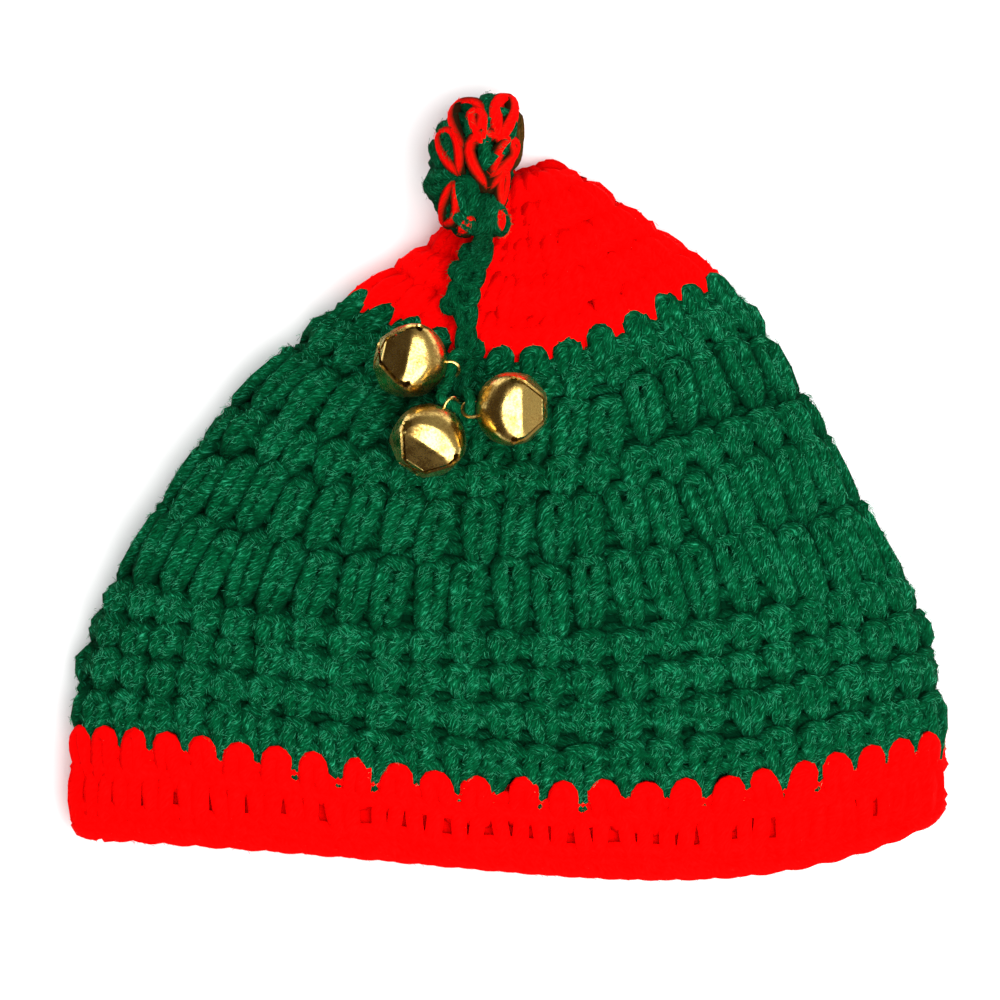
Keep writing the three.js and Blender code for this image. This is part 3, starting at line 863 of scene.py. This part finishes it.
def yarn_material(name, shade_colour, deep, middle, light, sunk_from, sunk_to, relief):
    """Spun yarn: short fibres that wind round the strand, from the strand's own UV map."""
    material, place, surface = material_of(name)
    uv = place.add("ShaderNodeUVMap", {}, uv_map="strand")
    along = uv.part(0)
    arc = uv.part(1) * (TURN * YARN)
    bend = place.noise(FIBRE_BENDS, 1.0) * FIBRE_BEND
    with_fibre = along * math.cos(WIND) + arc * math.sin(WIND)
    over_fibre = arc * math.cos(WIND) - along * math.sin(WIND) + bend
    lie = uv.add("ShaderNodeCombineXYZ", {0: with_fibre * FIBRE_LONG, 1: over_fibre * FIBRE_FINE})
    fibre = lie.noise(1.0, 3.0, 0.7)
    streak = fibre.share(FIBRE_DARK, FIBRE_PALE)
    tone = streak * FIBRE_TONE + place.noise(PATCHES, 3.0) * PATCH_TONE - TONE_BASE
    colour = tone.share(0.5, 1.0).mix(tone.share(0.0, 0.5).mix(deep, middle), light)
    # Painted shade: the colour goes over to the shade colour as the shade painted on the points grows
    depth = place.add("ShaderNodeAttribute", {}, output=2, attribute_name="sunk")
    depth.share(sunk_from, sunk_to).mix(colour, shade_colour).link(surface, "Base Color")
    ply = over_fibre * (TURN / PLY)
    height = ply.math("SINE", ply) * PLY_RELIEF + fibre
    height.bump(relief, FIBRE_RELIEF).link(surface, "Normal")
    set_inputs(surface, {"Roughness": YARN_ROUGHNESS, "Specular IOR Level": YARN_SHINE})
    return material


def plain_material(name, colour, roughness, metallic=0.0, shine=0.1):
    """One colour all over, for single fibres, pellets and the paper below the hat."""
    material, _, surface = material_of(name)
    set_inputs(surface, {"Base Color": colour, "Roughness": roughness})
    set_inputs(surface, {"Metallic": metallic, "Specular IOR Level": shine})
    return material


def gold_material(bright, dull):
    """Thin brass plating with smears, dull grains and fine scratches."""
    material, place, surface = material_of("gold")
    smear = place.noise(SMEARS, 3.0, 0.6)
    grain = place.noise(GRAINS, 2.0)
    worn = (grain * 0.6 + smear * 0.6).share(WORN_FROM, WORN_TO)
    worn.mix(bright, dull).link(surface, "Base Color")
    (worn * 0.2 + smear * 0.2 + 0.1).link(surface, "Roughness")
    (smear * 0.5 + grain * 0.35).bump(0.2, GOLD_RELIEF).link(surface, "Normal")
    set_inputs(surface, {"Metallic": 1.0})
    return material


# Each yarn's colours; its shade colour is painted shade, laid where the yarn lies deep or near the gaps
RED = yarn_material(
    "red_yarn",
    shade_colour=(0.5, 0.0, 0.0, 1),
    deep=(0.85, 0.0, 0.0, 1),
    middle=(1.0, 0.001, 0.001, 1),
    light=(1.0, 0.002, 0.002, 1),
    sunk_from=0.1,
    sunk_to=1.3,
    relief=0.35,
)
KNOT_RED = yarn_material(
    "knot_red",
    shade_colour=(0.02, 0.008, 0.002, 1),
    deep=(0.75, 0.0, 0.0, 1),
    middle=(1.0, 0.002, 0.001, 1),
    light=(1.0, 0.01, 0.006, 1),
    sunk_from=0.12,
    sunk_to=0.42,
    relief=0.35,
)
KNOT_BROWN = yarn_material(
    "knot_brown",
    shade_colour=(0.015, 0.012, 0.003, 1),
    deep=(0.05, 0.03, 0.004, 1),
    middle=(0.14, 0.055, 0.008, 1),
    light=(0.3, 0.1, 0.02, 1),
    sunk_from=0.0,
    sunk_to=1.0,
    relief=0.6,
)
GREEN = yarn_material(
    "green_yarn",
    shade_colour=(0.0, 0.02, 0.007, 1),
    deep=(0.0002, 0.03, 0.009, 1),
    middle=(0.0008, 0.1, 0.032, 1),
    light=(0.035, 0.46, 0.23, 1),
    sunk_from=0.0,
    sunk_to=1.0,
    relief=1.0,
)
# Fibre colours: the pale green copy is a painted highlight for the tops of the stitches, the deep green copy
# painted shade between them
RED_FUZZ = plain_material("red_fuzz", (1.0, 0.001, 0.001, 1), 0.9, shine=0.02)
GREEN_FUZZ = plain_material("green_fuzz", (0.001, 0.125, 0.041, 1), 0.85, shine=0.1)
LIT_FUZZ = plain_material("lit_green_fuzz", (0.04, 0.44, 0.21, 1), 0.8, shine=0.2)
SHADED_FUZZ = plain_material("shaded_green_fuzz", (0.0005, 0.045, 0.015, 1), 0.9, shine=0.02)
GOLD = gold_material(bright=(0.84, 0.6, 0.18, 1), dull=(0.34, 0.2, 0.05, 1))
STEEL = plain_material("pellet_steel", (0.42, 0.42, 0.42, 1), 0.35, metallic=1.0)

# Camera, straight above as in the photo
camera = bpy.data.objects.new("camera", bpy.data.cameras.new("camera"))
camera.data.lens = CAMERA_LENS
camera.location = CAMERA_PLACE
bpy.context.collection.objects.link(camera)
bpy.context.scene.camera = camera


def keep(piece, node=None):
    """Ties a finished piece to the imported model."""
    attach(piece, "root")
    if node:
        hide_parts(node)
    return piece


# The cord: a chain of loops from the topknot to the bells
front_turn = np.linspace(*FRONT_TURNS, FRONT_STEPS)[:, None]
front = wall(np.linspace(0, TIP_RISE, FRONT_LINES), front_turn).reshape(-1, 3)


def front_height(places):
    """The height of the hat's front at places seen from above."""
    away = (front[:, 0] - places[:, :1]) ** 2 + (front[:, 1] - places[:, 1:]) ** 2
    return front[away.argmin(axis=1), 2]


def cord_chain(yarn, path):
    """Loops along a path, each of which comes out of the one before it, as wide as CORD_WIDTHS says."""
    knots = steps_along(path)
    line = np.column_stack([knots, path])
    count = round(knots[-1] / CORD_PITCH)
    start = np.arange(count) * (knots[-1] - CORD_PITCH * LAST_LINK) / (count - 1)
    at = start[:, None] + CHAIN_LOOP[:, 1] * CORD_PITCH
    width, radius = np.moveaxis(through(CORD_WIDTHS, at / knots[-1]), -1, 0)
    ahead = unit(through(line, at + LINK_STEP) - through(line, at - LINK_STEP))
    up = np.broadcast_to(UP, ahead.shape)
    side = unit(np.cross(ahead, up))
    points = through(line, at) + side * (CHAIN_LOOP[:, 0] * width)[..., None] + up * CHAIN_LOOP[:, 2:]
    yarn.add(points, up, radius, CHAIN_LOOP[:, 2] - CORD_SHADE)


def cord_puffs(yarn, path):
    """Loose loops that bulge out at the cord's left."""
    sides = unit(np.cross(np.gradient(path, axis=0), UP))
    for share, reach in CORD_PUFFS:
        at = round(share * (len(path) - 1))
        ahead = unit(path[at + 1] - path[at])
        left = -sides[at] if sides[at, 0] > 0 else sides[at]
        points = path[at] + PUFF_LOOP[:, 1:2] * reach * left + PUFF_LOOP[:, :1] * PUFF_WIDTH * ahead
        points = points + PUFF_LOOP[:, 2:] * UP
        yarn.add_one(points, UP, PUFF_RADIUS, PUFF_LOOP[:, 2] - CORD_SHADE)


cord_top = front_height(CORD_ROUTE) + CORD_LIFT
cord_top[0] = CORD_EXIT_HEIGHT
cord_path = smooth_line(np.column_stack([CORD_ROUTE, cord_top]), CORD_POINTS)
cord_yarn = Yarn()
cord_chain(cord_yarn, cord_path)
cord_yarn.add_one(cord_path - CORD_HEART_DROP * UP, UP, CORD_HEART, -CORD_HEART_DROP - CORD_SHADE)
cord_puffs(cord_yarn, cord_path)
cord = keep(cord_yarn.piece("cord_chain", GREEN), "cord")

# The hat: name, rows, look, where its dense middle begins and ends, the lines of that, node and slot
CLOTHS = [
    ("band", BAND_ROWS, RED, 1.2, 15.4, 5, "red_band", "red_yarn"),
    ("body", BODY_ROWS, GREEN, 16.6, 98.2, 12, "green_body", "green_yarn"),
    ("crown", CROWN_ROWS, RED, 98.8, 136.0, 6, "red_crown", "red_yarn"),
]
cloth_yarns = {}
for cloth_name, rows, look, low, high, lines, node, slot in CLOTHS:
    cloth_yarns[cloth_name] = cloth(rows, low, high, lines)
    keep(cloth_yarns[cloth_name].piece(cloth_name + "_stitches", look), node)

# Its loose fibres: cloth, name, fibres, look, the least and most painted shade of their yarn, and slot
# The pale fibres are painted highlight on the stitch tops, the deep ones painted shade in the gaps
FIBRES = [
    ("band", "fuzz", 2500, RED_FUZZ, 0.0, 0.6, "red_yarn"),
    ("body", "fuzz", 45000, GREEN_FUZZ, 0.0, 0.4, "green_yarn"),
    ("body", "lit_fuzz", 18000, LIT_FUZZ, 0.0, 0.1, "green_yarn"),
    ("body", "shaded_fuzz", 25000, SHADED_FUZZ, 0.2, 0.9, "green_yarn"),
    ("crown", "fuzz", 1500, RED_FUZZ, 0.0, 0.6, "red_yarn"),
]
for cloth_name, fuzz_name, fibres, look, least, most, slot in FIBRES:
    keep(cloth_yarns[cloth_name].fuzz(f"{cloth_name}_{fuzz_name}", fibres, look, least, most))


# The topknot: nested loops of both colours over a shaded middle that is also painted dark
def on_knot(x, y, face, lift):
    """Points on the knot's front, face 1, or back, face -1, and their normals."""
    middle, half_width, height, half_height = np.moveaxis(through(KNOT, y), -1, 0)
    across = np.clip((x - middle) / np.maximum(half_width, KNOT_LEAST), -KNOT_SIDE, KNOT_SIDE)
    rise = np.sqrt(1 - across**2)
    normal = unit(np.stack([across / half_width, 0 * across, face * rise / half_height], -1))
    point = np.stack([middle + across * half_width, y, height + face * rise * half_height], -1)
    return point + normal * lift[..., None], normal


def knot_loops(yarns, face):
    """The loops on one face of the topknot."""
    for colour, foot_x, foot_y, head_x, head_y, width, radius, stand in KNOT_LOOPS:
        foot, head = np.array((foot_x, foot_y)), np.array((head_x, head_y))
        ahead = head - foot
        beside = np.array((ahead[1], -ahead[0])) / np.hypot(*ahead)
        place = foot + KNOT_LOOP[:, 1:2] * ahead + KNOT_LOOP[:, :1] * width * beside
        y = np.clip(place[:, 1], KNOT[1, 0], KNOT[-2, 0])
        lift = KNOT_LOOP[:, 2] + stand
        points, normals = on_knot(place[:, 0], y, face, lift - radius)
        yarns[colour].add_one(lift_to(radius, points), normals, radius, lift - KNOT_SHADE)


def knot_stem(yarn):
    """The strands that run down from the topknot over the head of the cord."""
    on_top = len(STEM_LIFT)
    top, _ = on_knot(STEM_ROUTE[:on_top, 0], STEM_ROUTE[:on_top, 1], 1, np.array(STEM_LIFT))
    low = front_height(STEM_ROUTE[on_top:]) + CORD_LIFT + STEM_OVER
    line = smooth_line(np.column_stack([STEM_ROUTE, np.concatenate([top[:, 2], low])]), STEM_POINTS)
    for offset in STEM_OFFSETS:
        sway = STEM_SWAY * np.sin(np.linspace(0, STEM_SWAYS, STEM_POINTS) + 2 * offset)
        shift = np.column_stack([offset + sway, 0 * sway, -STEM_DROP * abs(offset) + 0 * sway])
        yarn.add_one(line + shift, UP, STEM_RADIUS, -CORD_SHADE)


def knot_heart(yarn):
    """Rings of yarn inside the topknot, which close the gaps between its loops."""
    turn = once_round(HEART_STEPS) * TURN
    y = np.linspace(KNOT[1, 0] + HEART_ENDS[0], KNOT[-2, 0] - HEART_ENDS[1], HEART_RINGS)[:, None]
    y = y + HEART_WAVE * np.sin(3 * turn)
    middle, half_width, height, half_height = np.moveaxis(through(KNOT, y), -1, 0)
    reach_x = np.maximum(half_width * HEART_SIZE - HEART_INSET, HEART_LEAST)
    reach_z = np.maximum(half_height * HEART_SIZE - HEART_INSET, HEART_LEAST)
    round_x, round_z = np.cos(turn), np.sin(turn)
    points = np.stack([middle + reach_x * round_x, y, height + reach_z * round_z], -1)
    normals = np.broadcast_to(np.stack([round_x, 0 * round_x, round_z], -1), points.shape)
    yarn.add(lift_to(HEART_RADIUS, points), normals, HEART_RADIUS, HEART_LIFT)


knot_yarns = {"red": Yarn(), "green": Yarn(), "brown": Yarn()}
knot_loops(knot_yarns, 1)
knot_loops(knot_yarns, -1)
knot_stem(knot_yarns["green"])
knot_heart(knot_yarns["green"])
keep(knot_yarns["red"].piece("topknot_red", KNOT_RED), "topknot")
keep(knot_yarns["green"].piece("topknot_green", GREEN), "topknot")
keep(knot_yarns["brown"].piece("topknot_brown", KNOT_BROWN), "topknot")
keep(knot_yarns["red"].fuzz("topknot_red_fuzz", 200, RED_FUZZ, 0.0, 0.3))
# Dark green fibres on the red strands, as painted shade at their sides
keep(knot_yarns["red"].fuzz("topknot_shaded_fuzz", 700, SHADED_FUZZ, 0.25, 0.9))
keep(knot_yarns["green"].fuzz("topknot_fuzz", 1600, GREEN_FUZZ, 0.0, 0.4))


# The bells
def bell_place(bell):
    """The bell's own frame: its mouth looks along its Z and its loop stands at the other end."""
    _, x, y, z, towards_x, towards_y, tilt, roll = bell
    level, rise = math.cos(math.radians(tilt)), math.sin(math.radians(tilt))
    axis = Vector((towards_x, towards_y, 0)).normalized() * level + Vector((0, 0, rise))
    side = axis.cross(Vector((0, 0, 1))).normalized()
    turned = Matrix((side.cross(axis), side, axis)).transposed().to_4x4()
    return Matrix.Translation((x, y, z)) @ turned @ Matrix.Rotation(math.radians(roll), 4, "Z")


def bell_point(quarter, share, down):
    """A point of the sheet: share is -1 to 1 over a petal, down is 0 at the loop and 1 at the mouth."""
    polar = math.pi * down
    slit = 0.0
    if down > SLIT_FROM:
        width = BELL_NOTCH if down < NOTCH_TO else BELL_SLIT
        slit = math.asin(min(WIDEST_SLIT, width / 2 / (BELL_RADIUS * math.sin(polar))))
    angle = share * (math.pi / 4 - slit)
    corner = math.cos(angle) ** BELL_SQUARE + math.sin(angle) ** BELL_SQUARE
    petal = min(1, max(0, (down - PETAL_FROM) / PETAL_OVER))
    petal = petal**2 * (3 - 2 * petal)
    side = math.sin(polar) * (1 - petal + petal * BELL_WIDTH * corner ** (-1 / BELL_SQUARE))
    ahead = -math.cos(polar)
    reach = BELL_RADIUS
    for lean, distance in BELL_FLATS:
        facing = side * math.cos(angle) * math.sin(lean) + ahead * math.cos(lean)
        reach = min(reach, BELL_RADIUS * distance / max(facing, LEAST_FACING))
    turned = angle + quarter * math.pi / 2
    return reach * Vector((side * math.cos(turned), side * math.sin(turned), ahead))


def press_sheet(bm):
    """The thin shell with its four petals."""
    for quarter in range(4):
        petal = bmesh.ops.create_grid(bm, x_segments=PETAL_COLUMNS, y_segments=PETAL_LINES, size=1)
        for vert in petal["verts"]:
            vert.co = bell_point(quarter, vert.co.x, PETAL_END * (vert.co.y + 1) / 2)
    bmesh.ops.remove_doubles(bm, verts=bm.verts[:], dist=0.001)
    bmesh.ops.recalc_face_normals(bm, faces=bm.faces[:])
    bmesh.ops.solidify(bm, geom=bm.faces[:], thickness=BELL_SHEET)


def bend_loop(bm):
    """The wire loop behind the shell."""
    beside = Matrix.Translation((LOOP_RADIUS, 0, 0))
    end = bmesh.ops.create_circle(bm, segments=LOOP_SIDES, radius=LOOP_WIRE, matrix=beside)["verts"]
    wire = end + [edge for edge in bm.edges if edge.verts[0] in end]
    bmesh.ops.spin(
        bm, geom=wire, cent=(0, 0, 0), axis=(0, 1, 0), angle=TURN, steps=LOOP_STEPS, use_merge=True
    )
    loop = [vert for vert in bm.verts if vert.co.length < LOOP_RADIUS + 2 * LOOP_WIRE]
    bmesh.ops.rotate(bm, verts=loop, matrix=Matrix.Rotation(LOOP_TURN, 3, "Z"))
    bmesh.ops.translate(bm, verts=loop, vec=(0, 0, -LOOP_REACH))
    bmesh.ops.rotate(bm, verts=loop, matrix=Matrix.Rotation(-LOOP_LEAN, 3, "Y"))


def bell_piece(bell):
    """One bell, the shell and its loop, in place on the hat."""
    bm = bmesh.new()
    press_sheet(bm)
    bend_loop(bm)
    bmesh.ops.recalc_face_normals(bm, faces=bm.faces[:])
    bm.transform(Matrix.Scale(MM, 4) @ bell_place(bell))
    mesh = bpy.data.meshes.new(bell[0] + "_sheet")
    bm.to_mesh(mesh)
    bm.free()
    mesh.shade_smooth()
    mesh.set_sharp_from_angle(angle=SHARP_FOLD)
    mesh.materials.append(GOLD)
    sheet = bpy.data.objects.new(bell[0] + "_sheet", mesh)
    bpy.context.collection.objects.link(sheet)
    return keep(sheet, bell[0])


def bell_eye(bell):
    """Where the yarn passes through a bell's loop, and which way it goes."""
    place = bell_place(bell)
    eye = Matrix.Rotation(-LOOP_LEAN, 3, "Y") @ Vector((0, 0, -LOOP_REACH - TIE_EYE))
    return np.array(place @ eye), np.array(place.to_3x3() @ Vector((0, 1, 0)))


bells = [bell_piece(bell) for bell in BELLS]
pellets = [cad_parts[bell[0] + "_pellet"] for bell in BELLS]
for pellet in pellets:
    pellet.data.materials.clear()
    pellet.data.materials.append(STEEL)

# The strand that ties the bells to the end of the cord
(eye_1, way_1), (eye_2, way_2), (eye_3, way_3) = [bell_eye(bell) for bell in BELLS]
tie_line = smooth_line([
    cord_path[TIE_FROM] + TIE_START,
    eye_1 + TIE_IN * way_1,
    eye_1,
    eye_1 - TIE_OUT * way_1,
    eye_2 + TIE_OUT * way_2,
    eye_2,
    eye_2 + TIE_BEND,
    eye_3 + TIE_OUT * way_3,
    eye_3,
    eye_3 - TIE_OUT * way_3,
    cord_path[-1] + TIE_END,
], TIE_POINTS)
tie_yarn = Yarn()
tie_yarn.add_one(tie_line, UP, TIE_RADIUS)
tie = keep(tie_yarn.piece("tie_strand", GREEN), "bell_tie")
cord_fuzz = keep(cord_yarn.fuzz("cord_fuzz", 900, GREEN_FUZZ, 0.0, 0.4))
tie_fuzz = keep(tie_yarn.fuzz("tie_fuzz", 160, GREEN_FUZZ))
cord_path[0] * MM
cord_path * MM

# Floor and light
bpy.ops.mesh.primitive_plane_add(size=FLOOR_SIZE)
floor = bpy.context.object
floor.name = "floor"
floor.data.materials.append(plain_material("paper", (0.93, 0.93, 0.93, 1), 0.9))
for lamp_name, lamp_place, size, watts in LIGHTS:
    lamp = bpy.data.objects.new(lamp_name, bpy.data.lights.new(lamp_name, "AREA"))
    lamp.data.size = size
    lamp.data.energy = watts
    lamp.location = lamp_place
    lamp.rotation_euler = (-Vector(lamp_place)).to_track_quat("-Z", "Y").to_euler()
    lamp.visible_glossy = lamp_name == "key"
    bpy.context.collection.objects.link(lamp)
world = bpy.data.worlds.new("studio")
world.use_nodes = True
world_nodes = Socket(world.node_tree)
glossy = world_nodes.add("ShaderNodeLightPath", {}, output="Is Glossy Ray")
way = world_nodes.add("ShaderNodeTexCoord", {}, output="Generated")
blotch = way.noise(ROOM_BLOTCHES, 1.0) * ROOM_BLOTCH
room = (way.part(0) + blotch).share(ROOM_FROM, ROOM_TO).mix(ROOM_DARK, ROOM_LIGHT)
glossy.mix(SKY, room).link(world.node_tree.nodes["Background"], "Color")
bpy.context.scene.world = world
bpy.context.scene.view_settings.view_transform = "Standard"
